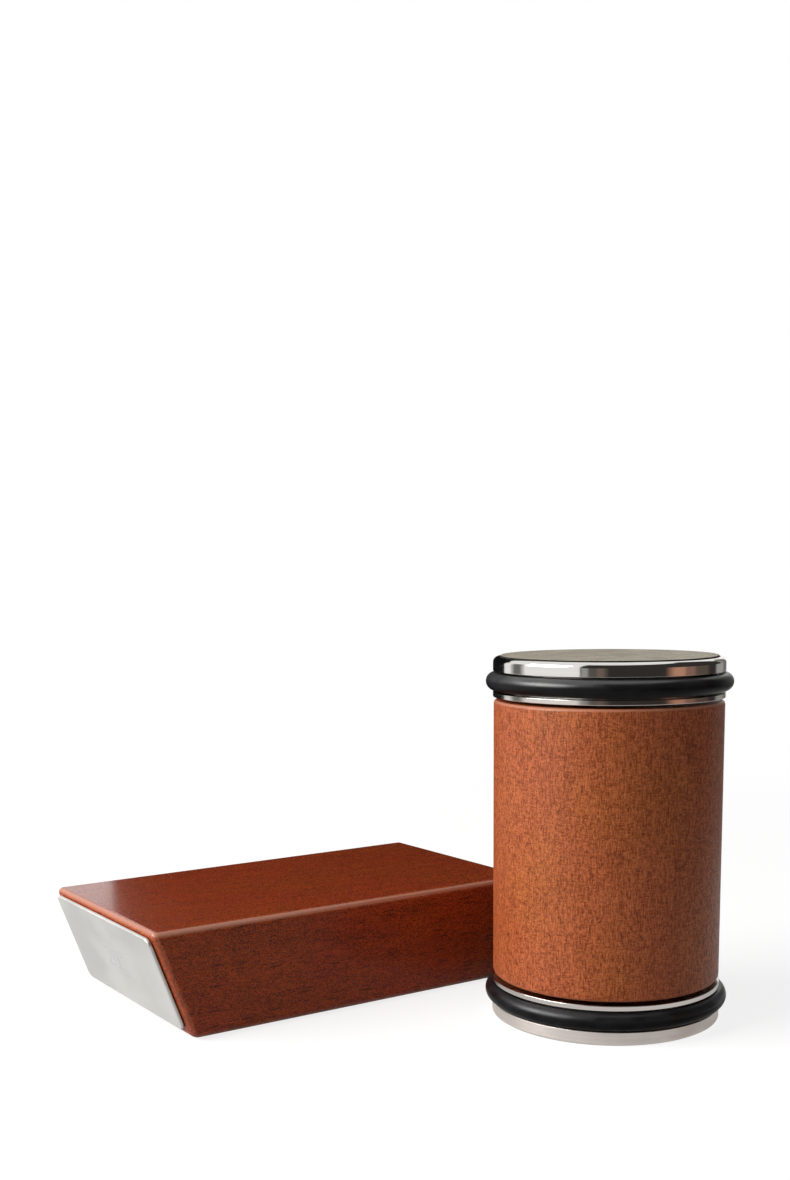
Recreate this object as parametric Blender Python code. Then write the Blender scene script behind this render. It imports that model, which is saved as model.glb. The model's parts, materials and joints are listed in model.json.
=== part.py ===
"""Rolling knife sharpener: a roller whose two abrasive ends turn in ball bearings inside a wooden
grip, and the magnetic block that holds a blade at a set angle beside it.

Metres, +Z up. The origin is the centre of the face that the roller stands on, so +Z is the
roller's own axis. The block lies beside it, with its long side along X.
"""

import math

import bmesh
import bpy
from mathutils import Matrix, Vector

# Clearances
SEAT_GAP = 0.0002
FIT_GAP = 0.0001
CUT_OVERRUN = 0.002

# Round ends of the roller
WHEEL_RADIUS = 0.0288
FLANGE_THICKNESS = 0.00125
O_RING_SECTION = 0.0045
O_RING_PROUD = 0.0018
GROOVE_SIDE_GAP = 0.00035
HUB_WALL = 0.0050
SPIGOT_HEIGHT = 0.0012
MAGNET_THICKNESS = 0.0020
MAGNET_LIP = 0.0018

# Abrasive discs
CARRIER_THICKNESS = 0.0035
SHOULDER_WIDTH = 0.00135
SHOULDER_DROP = 0.0014
RIM_LIP = 0.00025
DIAMOND_THICKNESS = 0.0008
DIAMOND_PROUD = 0.00035
DIAMOND_EDGE_GAP = 0.0003
HONING_THICKNESS = 0.0035
HONING_SHOULDER_WIDTH = 0.0007
HONING_SHOULDER_DROP = 0.0006
HONING_PROUD = 0.00025

# Grip
GRIP_LENGTH = 0.0700
GRIP_SETBACK = 0.0002
GRIP_EDGE_RADIUS = 0.0008
GRIP_END_GAP = 0.0008
GRIP_BORE_WALL = 0.0006

# Bearings
BEARING_BORE_RADIUS = 0.0040
BEARING_RECESS = 0.0015
BALL_RADIUS = 0.001985
BALL_COUNT = 7
BALL_CLEARANCE = 0.0001
RACE_WALL = 0.001415
RACE_LAND_SHARE = 0.72
CAGE_THICKNESS = 0.0009
CAGE_EDGE = 0.0004
CAGE_END_GAP = 0.000315
SHIELD_THICKNESS = 0.0003
SHIELD_SETBACK = 0.0004
SHIELD_LEDGE = 0.0007
SHIELD_BORE_GAP = 0.0004

# Axle fastenings
BOSS_RELIEF = 0.0004
WASHER_THICKNESS = 0.0008
WASHER_OVERLAP = 0.0026
SCREW_RADIUS = 0.0020
SCREW_LENGTH = 0.0090
SCREW_HEAD_RADIUS = 0.0038
SCREW_HEAD_HEIGHT = 0.0022
SCREW_HEAD_EDGE = 0.0009
SOCKET_RADIUS = 0.00144
SOCKET_DEPTH = 0.0013
AXLE_SETBACK = 0.0004
TAP_CLEARANCE = 0.0010

# Angle block
BLOCK_LENGTH = 0.1140
BLOCK_WIDTH = 0.0640
BLOCK_HEIGHT = 0.0280
BLOCK_EDGE_RADIUS = 0.0015
BLOCK_REACH = 0.00575
ROLLER_GAP = 0.0075
STEEP_END_ANGLE = math.radians(20)
SHALLOW_END_ANGLE = math.radians(15)
PLATE_THICKNESS = 0.0009
PLATE_TOP_MARGIN = 0.00165
PLATE_SIDE_MARGIN = 0.0022
PLATE_BOTTOM_MARGIN = 0.00265
PLATE_CORNER_RADIUS = 0.0020
PLATE_EDGE_RADIUS = 0.0002
BLADE_MAGNET_RADIUS = 0.0075
BLADE_MAGNET_THICKNESS = 0.0040
BLADE_MAGNET_SPACING = 0.0280
FOOT_RADIUS = 0.0040
FOOT_THICKNESS = 0.0015
FOOT_PROUD = 0.0005
FOOT_INSET = 0.0090

# Fineness of the round shapes
WIDE_STEPS = 48
OUTER_RACE_STEPS = 32
NARROW_STEPS = 20
RING_STEPS = 12
WINDOW_STEPS = 10
SHOULDER_STEPS = 3
ARC_STEPS = 2
MERGE_DISTANCE = 0.000001
SHARP_ANGLE = math.radians(32)

# Radii of the round ends, worked in from the rim
o_ring_outer = WHEEL_RADIUS + O_RING_PROUD
o_ring_centre = o_ring_outer - O_RING_SECTION / 2
hub_radius = o_ring_centre - O_RING_SECTION / 2 - SEAT_GAP
spigot_bore = hub_radius - HUB_WALL
spigot_radius = spigot_bore - FIT_GAP
diamond_seat = WHEEL_RADIUS - SHOULDER_WIDTH - RIM_LIP
diamond_radius = diamond_seat - DIAMOND_EDGE_GAP
honing_face_radius = WHEEL_RADIUS - HONING_SHOULDER_WIDTH - RIM_LIP

# Bearing, worked outwards from its bore, and from the middle of its balls to its faces
raceway_radius = BALL_RADIUS + BALL_CLEARANCE
pitch_radius = BEARING_BORE_RADIUS + RACE_WALL + raceway_radius
bearing_outer_radius = pitch_radius + raceway_radius + RACE_WALL
inner_land = pitch_radius - RACE_LAND_SHARE * raceway_radius
outer_land = pitch_radius + RACE_LAND_SHARE * raceway_radius
shield_seat_radius = outer_land + SHIELD_LEDGE
cage_half = raceway_radius + CAGE_EDGE
shield_inner_face = cage_half + CAGE_END_GAP
bearing_half = shield_inner_face + SHIELD_THICKNESS + SHIELD_SETBACK

# Radii round the axle
axle_radius = BEARING_BORE_RADIUS - FIT_GAP
boss_radius = inner_land - BOSS_RELIEF
grip_bore = inner_land + GRIP_BORE_WALL
grip_radius = WHEEL_RADIUS - GRIP_SETBACK
washer_radius = axle_radius + WASHER_OVERLAP
washer_pocket = washer_radius + FIT_GAP
magnet_inner = washer_pocket + MAGNET_LIP
magnet_outer = spigot_radius - MAGNET_LIP

# Depths at each end, counted inwards from the face where a disc meets its wheel
groove_width = O_RING_SECTION + 2 * GROOVE_SIDE_GAP
recess_floor = SPIGOT_HEIGHT + SEAT_GAP
magnet_floor = recess_floor + MAGNET_THICKNESS + SEAT_GAP
washer_seat = recess_floor + SCREW_HEAD_HEIGHT + SEAT_GAP + WASHER_THICKNESS + SEAT_GAP
flange_inner = groove_width + FLANGE_THICKNESS
grip_end = flange_inner + GRIP_END_GAP
bearing_face = grip_end + BEARING_RECESS
bearing_centre = bearing_face + bearing_half
bearing_back = bearing_centre + bearing_half

# Heights above the floor
lower_seat = HONING_THICKNESS
upper_seat = lower_seat + 2 * grip_end + GRIP_LENGTH
roller_middle = (lower_seat + upper_seat) / 2
half_span = (upper_seat - lower_seat) / 2

# Place of the block beside the roller
block_x = BLOCK_REACH - BLOCK_LENGTH / 2
block_y = o_ring_outer + ROLLER_GAP + BLOCK_WIDTH / 2

# Colour, metallic and roughness of each finish
STAINED_BEECH = ((0.300, 0.066, 0.017), 0.0, 0.42)
POLISHED_STEEL = ((0.640, 0.620, 0.590), 1.0, 0.10)
SATIN_STEEL = ((0.560, 0.530, 0.490), 1.0, 0.34)
BRUSHED_PLATE = ((0.660, 0.660, 0.630), 0.9, 0.42)
BEARING_STEEL = ((0.580, 0.580, 0.580), 1.0, 0.18)
STAMPED_STEEL = ((0.480, 0.480, 0.470), 1.0, 0.35)
NICKEL = ((0.550, 0.540, 0.500), 1.0, 0.25)
ZINC = ((0.500, 0.510, 0.520), 1.0, 0.30)
DIAMOND_GRIT = ((0.270, 0.262, 0.222), 0.4, 0.75)
BLACK_RUBBER = ((0.011, 0.011, 0.012), 0.0, 0.50)
GREY_RUBBER = ((0.060, 0.060, 0.060), 0.0, 0.65)


def clear_scene():
    for obj in list(bpy.data.objects):
        bpy.data.objects.remove(obj, do_unlink=True)


def finish_material(name, finish):
    colour, metallic, roughness = finish
    material = bpy.data.materials.new(name)
    material.use_nodes = True
    shader = material.node_tree.nodes["Principled BSDF"]
    shader.inputs["Base Color"].default_value = (*colour, 1)
    shader.inputs["Metallic"].default_value = metallic
    shader.inputs["Roughness"].default_value = roughness
    material.diffuse_color = (*colour, 1)
    return material


def mesh_from(shape, name):
    """Turns a bmesh into a mesh that faces outwards, smooth but for its real edges."""
    bmesh.ops.recalc_face_normals(shape, faces=shape.faces)
    mesh = bpy.data.meshes.new(name)
    shape.to_mesh(mesh)
    shape.free()
    mesh.shade_smooth()
    mesh.set_sharp_from_angle(angle=SHARP_ANGLE)
    return mesh


def piece(name, mesh, finish, carrier, location=(0, 0, 0), rotation=(0, 0, 0)):
    """A node of the model. A mesh that a first copy has dressed keeps its material."""
    if not mesh.materials:
        mesh.materials.append(finish_material(name, finish))
    obj = bpy.data.objects.new(name, mesh)
    bpy.context.scene.collection.objects.link(obj)
    obj.parent = carrier
    obj.location = location
    obj.rotation_euler = rotation
    return obj


def axis_empty(name, location=(0, 0, 0), carrier=None, rotation=(0, 0, 0)):
    empty = bpy.data.objects.new(name, None)
    bpy.context.scene.collection.objects.link(empty)
    empty.parent = carrier
    empty.location = location
    empty.rotation_euler = rotation
    return empty


def cut(obj, name, mesh, carrier, location=(0, 0, 0), rotation=(0, 0, 0)):
    """Takes a hidden solid out of a piece."""
    cutter = bpy.data.objects.new(name, mesh)
    bpy.context.scene.collection.objects.link(cutter)
    cutter.parent = carrier
    cutter.location = location
    cutter.rotation_euler = rotation
    cutter.hide_render = True
    cutter.display_type = "WIRE"
    boolean = obj.modifiers.new(name, "BOOLEAN")
    boolean.operation = "DIFFERENCE"
    boolean.solver = "EXACT"
    boolean.object = cutter


def eased(outline):
    """Rounds each corner that carries a third value, the radius of its edge."""
    points = []
    neighbours = zip([outline[-1], *outline], outline, [*outline[1:], outline[0]])
    for before, corner, after in neighbours:
        if len(corner) == 2:
            points.append(corner)
            continue
        here = Vector((corner[0], corner[1], 0))
        back = (Vector((before[0], before[1], 0)) - here).normalized()
        ahead = (Vector((after[0], after[1], 0)) - here).normalized()
        half = back.angle(ahead) / 2
        setback = corner[2] / math.tan(half)
        centre = here + (back + ahead).normalized() * corner[2] / math.sin(half)
        first = (here + back * setback - centre).normalized()
        last = (here + ahead * setback - centre).normalized()
        for step in range(ARC_STEPS + 1):
            point = centre + first.slerp(last, step / ARC_STEPS) * corner[2]
            points.append((point.x, point.y))
    return points


def turned(name, outline, steps=WIDE_STEPS):
    """A solid turned about Z from (radius, height) corners, closed on itself or on the axis."""
    shape = bmesh.new()
    corners = [shape.verts.new((radius, 0, height)) for radius, height in eased(outline)]
    edges = [shape.edges.new(pair) for pair in zip(corners, corners[1:])]
    if outline[0][0] > 0:
        edges.append(shape.edges.new((corners[-1], corners[0])))
    bmesh.ops.spin(
        shape,
        geom=corners + edges,
        cent=(0, 0, 0),
        axis=(0, 0, 1),
        angle=math.tau,
        steps=steps,
        use_merge=True,
    )
    bmesh.ops.remove_doubles(shape, verts=shape.verts, dist=MERGE_DISTANCE)
    return mesh_from(shape, name)


def extruded(name, outline, depth):
    """A flat outline in YZ, given depth along +X."""
    shape = bmesh.new()
    face = shape.faces.new([shape.verts.new((0, across, up)) for across, up in eased(outline)])
    sweep = bmesh.ops.extrude_face_region(shape, geom=[face])
    moved = [item for item in sweep["geom"] if isinstance(item, bmesh.types.BMVert)]
    bmesh.ops.translate(shape, verts=moved, vec=(depth, 0, 0))
    return mesh_from(shape, name)


def plug(name, radius, low, high, steps=NARROW_STEPS):
    """A plain round solid about Z between two heights."""
    return turned(name, [(0, low), (radius, low), (radius, high), (0, high)], steps)


def tube(name, inner, outer, low, high, steps=NARROW_STEPS):
    return turned(name, [(inner, low), (outer, low), (outer, high), (inner, high)], steps)


def shoulder(face_height, width, drop):
    """Rounded shoulder of a disc, from its rim up to its face, counted outwards as negative depths."""
    inner = WHEEL_RADIUS - width
    turns = [math.pi / 2 * step / SHOULDER_STEPS for step in range(SHOULDER_STEPS, -1, -1)]
    return [(inner + width * math.sin(turn), -face_height + drop * (1 - math.cos(turn))) for turn in turns]


def spigot_outline():
    """The inner side of a disc: the spigot that centres it in its wheel."""
    return [(0, SPIGOT_HEIGHT), (spigot_radius, SPIGOT_HEIGHT), (spigot_radius, 0), (WHEEL_RADIUS, 0)]


def make_diamond_disc(end, carrier):
    """Polished carrier with the diamond plate seated in its face."""
    seat = CARRIER_THICKNESS + DIAMOND_PROUD - DIAMOND_THICKNESS - SEAT_GAP
    outline = spigot_outline() + shoulder(CARRIER_THICKNESS, SHOULDER_WIDTH, SHOULDER_DROP)
    outline += [(diamond_seat, -CARRIER_THICKNESS), (diamond_seat, -seat), (0, -seat)]
    piece("diamond_carrier", turned("diamond_carrier", outline), POLISHED_STEEL, carrier, **end)
    top = CARRIER_THICKNESS + DIAMOND_PROUD
    plate = plug("diamond_plate", diamond_radius, -top, -top + DIAMOND_THICKNESS, WIDE_STEPS)
    piece("diamond_plate", plate, DIAMOND_GRIT, carrier, **end)


def make_honing_disc(end, carrier):
    """Solid steel disc whose honing face stands slightly proud of its shoulder."""
    foot = HONING_THICKNESS - HONING_PROUD
    outline = spigot_outline() + shoulder(foot, HONING_SHOULDER_WIDTH, HONING_SHOULDER_DROP)
    outline += [
        (honing_face_radius, HONING_PROUD - HONING_THICKNESS),
        (honing_face_radius, -HONING_THICKNESS),
        (0, -HONING_THICKNESS),
    ]
    piece("honing_disc", turned("honing_disc", outline), SATIN_STEEL, carrier, **end)


def wheel_outline():
    """Wheel with its ring groove, inner flange, bearing boss and the pockets in its outer face."""
    return [
        (axle_radius + FIT_GAP, bearing_face - SEAT_GAP),
        (boss_radius, bearing_face - SEAT_GAP),
        (boss_radius, flange_inner),
        (WHEEL_RADIUS, flange_inner),
        (WHEEL_RADIUS, groove_width),
        (hub_radius, groove_width),
        (hub_radius, SEAT_GAP),
        (spigot_bore, SEAT_GAP),
        (spigot_bore, recess_floor),
        (magnet_outer + FIT_GAP, recess_floor),
        (magnet_outer + FIT_GAP, magnet_floor),
        (magnet_inner - FIT_GAP, magnet_floor),
        (magnet_inner - FIT_GAP, recess_floor),
        (washer_pocket, recess_floor),
        (washer_pocket, washer_seat),
        (axle_radius + FIT_GAP, washer_seat),
    ]


def o_ring_outline():
    """Round section, centred in the groove."""
    radius = O_RING_SECTION / 2
    middle = groove_width / 2
    turns = [math.tau * step / RING_STEPS for step in range(RING_STEPS)]
    return [(o_ring_centre + radius * math.cos(turn), middle + radius * math.sin(turn)) for turn in turns]


def screw_outline():
    """Round-headed screw: its head lies in the pocket, its shank runs on into the axle."""
    head_top = recess_floor
    head_seat = head_top + SCREW_HEAD_HEIGHT
    return [
        (0, head_top),
        (SCREW_HEAD_RADIUS, head_top, SCREW_HEAD_EDGE),
        (SCREW_HEAD_RADIUS, head_seat),
        (SCREW_RADIUS, head_seat),
        (SCREW_RADIUS, head_seat + SCREW_LENGTH),
        (0, head_seat + SCREW_LENGTH),
    ]


def socket_mesh():
    """Six-sided key socket in a screw head."""
    shape = bmesh.new()
    bmesh.ops.create_cone(
        shape,
        cap_ends=True,
        segments=6,
        radius1=SOCKET_RADIUS,
        radius2=SOCKET_RADIUS,
        depth=SOCKET_DEPTH + CUT_OVERRUN,
    )
    return mesh_from(shape, "key_socket_cutter")


def make_wheels(ends, carrier):
    """Both wheels with what they carry, in one frame that runs inwards from each disc's seat."""
    wheel = turned("wheel", wheel_outline())
    ring = turned("o_ring", o_ring_outline())
    magnet_low = magnet_floor - SEAT_GAP
    magnet = tube("disc_magnet", magnet_inner, magnet_outer, recess_floor, magnet_low, WIDE_STEPS)
    washer_low = washer_seat - SEAT_GAP - WASHER_THICKNESS
    washer = tube("axle_washer", SCREW_RADIUS + FIT_GAP, washer_radius, washer_low, washer_seat - SEAT_GAP)
    screw = turned("axle_screw", screw_outline(), NARROW_STEPS)
    socket = socket_mesh()
    socket_middle = recess_floor + (SOCKET_DEPTH - CUT_OVERRUN) / 2
    for side, end in ends.items():
        piece(f"{side}_wheel", wheel, POLISHED_STEEL, carrier, **end)
        piece(f"{side}_o_ring", ring, BLACK_RUBBER, carrier, **end)
        piece(f"{side}_disc_magnet", magnet, NICKEL, carrier, **end)
        piece(f"{side}_axle_washer", washer, ZINC, carrier, **end)
        bolt = piece(f"{side}_axle_screw", screw, ZINC, carrier, **end)
        frame = axis_empty(f"{side}_screw_head", carrier=carrier, **end)
        cut(bolt, f"{side}_key_socket_cutter", socket, frame, location=(0, 0, socket_middle))


def make_axle(carrier):
    """Steel shaft through both bearings, tapped at each end for its screw."""
    end = half_span - washer_seat - AXLE_SETBACK
    tap_floor = half_span - recess_floor - SCREW_HEAD_HEIGHT - SCREW_LENGTH - TAP_CLEARANCE
    tap_radius = SCREW_RADIUS + FIT_GAP
    outline = [
        (0, -tap_floor),
        (tap_radius, -tap_floor),
        (tap_radius, -end),
        (axle_radius, -end),
        (axle_radius, end),
        (tap_radius, end),
        (tap_radius, tap_floor),
        (0, tap_floor),
    ]
    mesh = turned("axle", outline, NARROW_STEPS)
    piece("axle", mesh, BEARING_STEEL, carrier, location=(0, 0, roller_middle))


def make_spacer(carrier):
    """Tube that keeps the two inner races apart on the axle."""
    reach = half_span - bearing_back - SEAT_GAP
    mesh = tube("race_spacer", axle_radius + FIT_GAP, boss_radius, -reach, reach)
    piece("race_spacer", mesh, ZINC, carrier, location=(0, 0, roller_middle))


def raceway(outwards):
    """Round groove that the balls run in, from its lower edge on the land to its upper one."""
    opening = math.acos(RACE_LAND_SHARE)
    turns = [opening * step / ARC_STEPS for step in range(-ARC_STEPS, ARC_STEPS + 1)]
    return [
        (pitch_radius + outwards * raceway_radius * math.cos(turn), raceway_radius * math.sin(turn))
        for turn in turns
    ]


def inner_race_mesh():
    """Inner race, with the groove round its outer side."""
    outline = [
        (inner_land, bearing_half),
        (BEARING_BORE_RADIUS, bearing_half),
        (BEARING_BORE_RADIUS, -bearing_half),
        (inner_land, -bearing_half),
    ]
    return turned("inner_race", outline + raceway(-1), NARROW_STEPS)


def outer_race_mesh():
    """Outer race with a ledge at each side that its shield rests on."""
    ledge = shield_inner_face - SEAT_GAP
    outline = [
        (outer_land, ledge),
        (shield_seat_radius, ledge),
        (shield_seat_radius, bearing_half),
        (bearing_outer_radius, bearing_half),
        (bearing_outer_radius, -bearing_half),
        (shield_seat_radius, -bearing_half),
        (shield_seat_radius, -ledge),
        (outer_land, -ledge),
    ]
    return turned("outer_race", outline + raceway(1), OUTER_RACE_STEPS)


def shield_mesh():
    """Thin ring that closes a bearing, standing clear of the inner race."""
    half = SHIELD_THICKNESS / 2
    return tube("shield", inner_land + SHIELD_BORE_GAP, shield_seat_radius - FIT_GAP, -half, half)


def cage_mesh():
    inner = pitch_radius - CAGE_THICKNESS / 2
    return tube("ball_cage", inner, inner + CAGE_THICKNESS, -cage_half, cage_half)


def ball_turns():
    return [math.tau * index / BALL_COUNT for index in range(BALL_COUNT)]


def cage_window_mesh():
    """The windows of a cage, one for each ball, whose flats clear it, as solids to take out."""
    radius = raceway_radius / math.cos(math.pi / WINDOW_STEPS)
    shape = bmesh.new()
    for turn in ball_turns():
        outwards = Matrix.Rotation(turn, 4, "Z") @ Matrix.Translation((pitch_radius, 0, 0))
        bmesh.ops.create_cone(
            shape,
            cap_ends=True,
            segments=WINDOW_STEPS,
            radius1=radius,
            radius2=radius,
            depth=CAGE_THICKNESS + CUT_OVERRUN,
            matrix=outwards @ Matrix.Rotation(math.pi / 2, 4, "Y"),
        )
    return mesh_from(shape, "cage_window_cutter")


def ball_mesh():
    shape = bmesh.new()
    bmesh.ops.create_icosphere(shape, subdivisions=2, radius=BALL_RADIUS)
    return mesh_from(shape, "ball")


def make_bearings(places, wheelset, grip):
    """Two ball bearings: inner races on the axle, outer races and shields in the grip, balls between."""
    inner_race = inner_race_mesh()
    outer_race = outer_race_mesh()
    shield = shield_mesh()
    cage = cage_mesh()
    windows = cage_window_mesh()
    ball = ball_mesh()
    shield_height = shield_inner_face + SHIELD_THICKNESS / 2
    for side, height in places.items():
        centre = (0, 0, height)
        piece(f"{side}_inner_race", inner_race, BEARING_STEEL, wheelset, location=centre)
        piece(f"{side}_outer_race", outer_race, BEARING_STEEL, grip, location=centre)
        for face, sign in (("bottom", -1), ("top", 1)):
            place = (0, 0, height + sign * shield_height)
            piece(f"{side}_bearing_shield_{face}", shield, STAMPED_STEEL, grip, location=place)
        orbit = axis_empty(f"{side}_ball_orbit", centre, wheelset)
        ring = piece(f"{side}_ball_cage", cage, STAMPED_STEEL, orbit)
        cut(ring, f"{side}_cage_window_cutter", windows, orbit)
        for index, turn in enumerate(ball_turns()):
            place = (pitch_radius * math.cos(turn), pitch_radius * math.sin(turn), 0)
            piece(f"{side}_ball_{index + 1}", ball, BEARING_STEEL, orbit, location=place)


def make_grip(carrier):
    """Wooden sleeve with a bearing seat bored into each end."""
    half = GRIP_LENGTH / 2
    seat_floor = half - BEARING_RECESS - 2 * bearing_half - SEAT_GAP
    seat_radius = bearing_outer_radius + FIT_GAP
    outline = [
        (grip_bore, seat_floor),
        (seat_radius, seat_floor),
        (seat_radius, half),
        (grip_radius, half, GRIP_EDGE_RADIUS),
        (grip_radius, -half, GRIP_EDGE_RADIUS),
        (seat_radius, -half),
        (seat_radius, -seat_floor),
        (grip_bore, -seat_floor),
    ]
    mesh = turned("wooden_grip", outline)
    piece("wooden_grip", mesh, STAINED_BEECH, carrier, location=(0, 0, roller_middle))


def block_outline():
    """Side view of the block, whose ends lean outwards from foot to top."""
    low, high = FOOT_PROUD, FOOT_PROUD + BLOCK_HEIGHT
    half = BLOCK_LENGTH / 2
    steep_foot = half - BLOCK_HEIGHT * math.tan(STEEP_END_ANGLE)
    shallow_foot = half - BLOCK_HEIGHT * math.tan(SHALLOW_END_ANGLE)
    return [(-half, high), (-steep_foot, low), (shallow_foot, low), (half, high)]


def block_mesh():
    shape = bmesh.new()
    front = -BLOCK_WIDTH / 2
    face = shape.faces.new([shape.verts.new((along, front, up)) for along, up in block_outline()])
    sweep = bmesh.ops.extrude_face_region(shape, geom=[face])
    moved = [item for item in sweep["geom"] if isinstance(item, bmesh.types.BMVert)]
    bmesh.ops.translate(shape, verts=moved, vec=(0, BLOCK_WIDTH, 0))
    return mesh_from(shape, "angle_block")


def round_edges(obj, name, width, segments):
    """Rounds the real edges of a piece, before anything is cut from it."""
    bevel = obj.modifiers.new(name, "BEVEL")
    bevel.width = width
    bevel.segments = segments
    bevel.limit_method = "ANGLE"
    bevel.angle_limit = SHARP_ANGLE


def make_end_plate(name, angle, end):
    """Steel plate that the blade rests on, glued to a leaning end of the block."""
    slope = BLOCK_HEIGHT / math.cos(angle)
    low = PLATE_BOTTOM_MARGIN - slope / 2
    high = slope / 2 - PLATE_TOP_MARGIN
    side = BLOCK_WIDTH / 2 - PLATE_SIDE_MARGIN
    corner = PLATE_CORNER_RADIUS
    outline = [(-side, low, corner), (side, low, corner), (side, high, corner), (-side, high, corner)]
    mesh = extruded(name, outline, PLATE_THICKNESS)
    plate = piece(name, mesh, BRUSHED_PLATE, end, location=(SEAT_GAP, 0, 0))
    round_edges(plate, "plate_edges", PLATE_EDGE_RADIUS, 1)


def make_block_end(block, side, angle, turn, magnet, pocket, carrier):
    """One leaning end: its frame has X out of the face and Z up its slope."""
    reach = (BLOCK_LENGTH - BLOCK_HEIGHT * math.tan(angle)) / 2
    place = (reach * math.cos(turn), 0, FOOT_PROUD + BLOCK_HEIGHT / 2)
    end = axis_empty(f"{side}_end", place, carrier, rotation=(0, angle, turn))
    make_end_plate(f"{side}_end_plate", angle, end)
    for index, offset in enumerate((-BLADE_MAGNET_SPACING / 2, BLADE_MAGNET_SPACING / 2)):
        pose = {"location": (0, offset, 0), "rotation": (0, math.pi / 2, 0)}
        cut(block, f"{side}_pocket_cutter_{index + 1}", pocket, end, **pose)
        piece(f"{side}_blade_magnet_{index + 1}", magnet, NICKEL, end, **pose)


def make_feet(block, carrier):
    """Four soft feet, each let into the underside."""
    steep_foot = BLOCK_LENGTH / 2 - BLOCK_HEIGHT * math.tan(STEEP_END_ANGLE) - FOOT_INSET
    shallow_foot = BLOCK_LENGTH / 2 - BLOCK_HEIGHT * math.tan(SHALLOW_END_ANGLE) - FOOT_INSET
    side = BLOCK_WIDTH / 2 - FOOT_INSET
    foot = plug("block_foot", FOOT_RADIUS, 0, FOOT_THICKNESS)
    pocket_radius = FOOT_RADIUS + FIT_GAP
    pocket = plug("foot_pocket_cutter", pocket_radius, FOOT_PROUD - CUT_OVERRUN, FOOT_THICKNESS + SEAT_GAP)
    places = [(-steep_foot, -side), (-steep_foot, side), (shallow_foot, -side), (shallow_foot, side)]
    for index, (along, across) in enumerate(places):
        place = (along, across, 0)
        cut(block, f"foot_pocket_cutter_{index + 1}", pocket, carrier, location=place)
        piece(f"block_foot_{index + 1}", foot, GREY_RUBBER, carrier, location=place)


def make_block():
    """Wooden block with a steel plate and two magnets at each end, and four feet."""
    carrier = axis_empty("angle_block_frame", (block_x, block_y, 0))
    block = piece("angle_block", block_mesh(), STAINED_BEECH, carrier)
    round_edges(block, "block_edges", BLOCK_EDGE_RADIUS, ARC_STEPS)
    magnet_back = -SEAT_GAP - BLADE_MAGNET_THICKNESS
    magnet = plug("blade_magnet", BLADE_MAGNET_RADIUS, magnet_back, -SEAT_GAP)
    pocket_radius = BLADE_MAGNET_RADIUS + FIT_GAP
    pocket = plug("magnet_pocket_cutter", pocket_radius, magnet_back - SEAT_GAP, CUT_OVERRUN)
    make_block_end(block, "steep", STEEP_END_ANGLE, math.pi, magnet, pocket, carrier)
    make_block_end(block, "shallow", SHALLOW_END_ANGLE, 0, magnet, pocket, carrier)
    make_feet(block, carrier)


def make_roller():
    """Grip, bearings and axle, with a wheel and an abrasive disc at each end."""
    lower = {"location": (0, 0, lower_seat), "rotation": (0, 0, 0)}
    upper = {"location": (0, 0, upper_seat), "rotation": (math.pi, 0, 0)}
    roller = axis_empty("roller_stand")
    wheelset = axis_empty("wheelset_axis", carrier=roller)
    grip = axis_empty("grip_axis", carrier=wheelset)
    diamond = axis_empty("diamond_disc_seat", carrier=wheelset)
    make_honing_disc(lower, roller)
    make_wheels({"lower": lower, "upper": upper}, wheelset)
    make_axle(wheelset)
    make_spacer(wheelset)
    make_diamond_disc(upper, diamond)
    make_grip(grip)
    places = {"lower": lower_seat + bearing_centre, "upper": upper_seat - bearing_centre}
    make_bearings(places, wheelset, grip)


def main():
    clear_scene()
    make_roller()
    make_block()


main()
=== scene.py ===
"""Looks of the rolling knife sharpener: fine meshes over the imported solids, their finishes and a
plain pale studio. Metres, +Z up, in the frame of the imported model.
"""

import json
import math

import bmesh
import bpy
from mathutils import Matrix, Vector


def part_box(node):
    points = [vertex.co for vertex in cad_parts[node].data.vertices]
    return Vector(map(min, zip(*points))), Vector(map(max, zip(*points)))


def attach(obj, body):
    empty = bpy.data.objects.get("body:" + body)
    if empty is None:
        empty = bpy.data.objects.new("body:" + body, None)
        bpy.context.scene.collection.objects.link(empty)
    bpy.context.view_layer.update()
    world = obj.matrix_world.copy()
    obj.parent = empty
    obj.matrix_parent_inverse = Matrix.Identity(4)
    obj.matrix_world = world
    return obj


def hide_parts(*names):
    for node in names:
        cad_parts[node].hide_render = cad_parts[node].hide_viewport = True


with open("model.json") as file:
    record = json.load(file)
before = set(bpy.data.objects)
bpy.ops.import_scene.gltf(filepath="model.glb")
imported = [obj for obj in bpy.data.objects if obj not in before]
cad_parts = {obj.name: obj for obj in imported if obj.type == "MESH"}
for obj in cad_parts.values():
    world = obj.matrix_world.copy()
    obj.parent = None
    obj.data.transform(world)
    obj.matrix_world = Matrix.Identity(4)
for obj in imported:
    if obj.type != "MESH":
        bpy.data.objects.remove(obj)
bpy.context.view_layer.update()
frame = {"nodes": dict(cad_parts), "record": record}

# Clearances, small sizes and counts that the solids have too
SEAT_GAP = 0.0002
FIT_GAP = 0.0001
GROOVE_SIDE_GAP = 0.00035
FLANGE_THICKNESS = 0.00125
HUB_WALL = 0.0050
SHOULDER_WIDTH = 0.00135
SHOULDER_DROP = 0.0014
RIM_LIP = 0.00025
HONING_SHOULDER_WIDTH = 0.0007
HONING_SHOULDER_DROP = 0.0006
HONING_PROUD = 0.00025
GRIP_BORE_WALL = 0.0006
SCREW_RADIUS = 0.0020
SCREW_HEAD_HEIGHT = 0.0022
SCREW_HEAD_EDGE = 0.0009
SOCKET_RADIUS = 0.00144
SOCKET_DEPTH = 0.0013
SOCKET_SIDES = 6
FOOT_COUNT = 4
STEEP_END_ANGLE = math.radians(20)
SHALLOW_END_ANGLE = math.radians(15)
PLATE_THICKNESS = 0.0009
PLATE_CORNER_RADIUS = 0.0020

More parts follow.
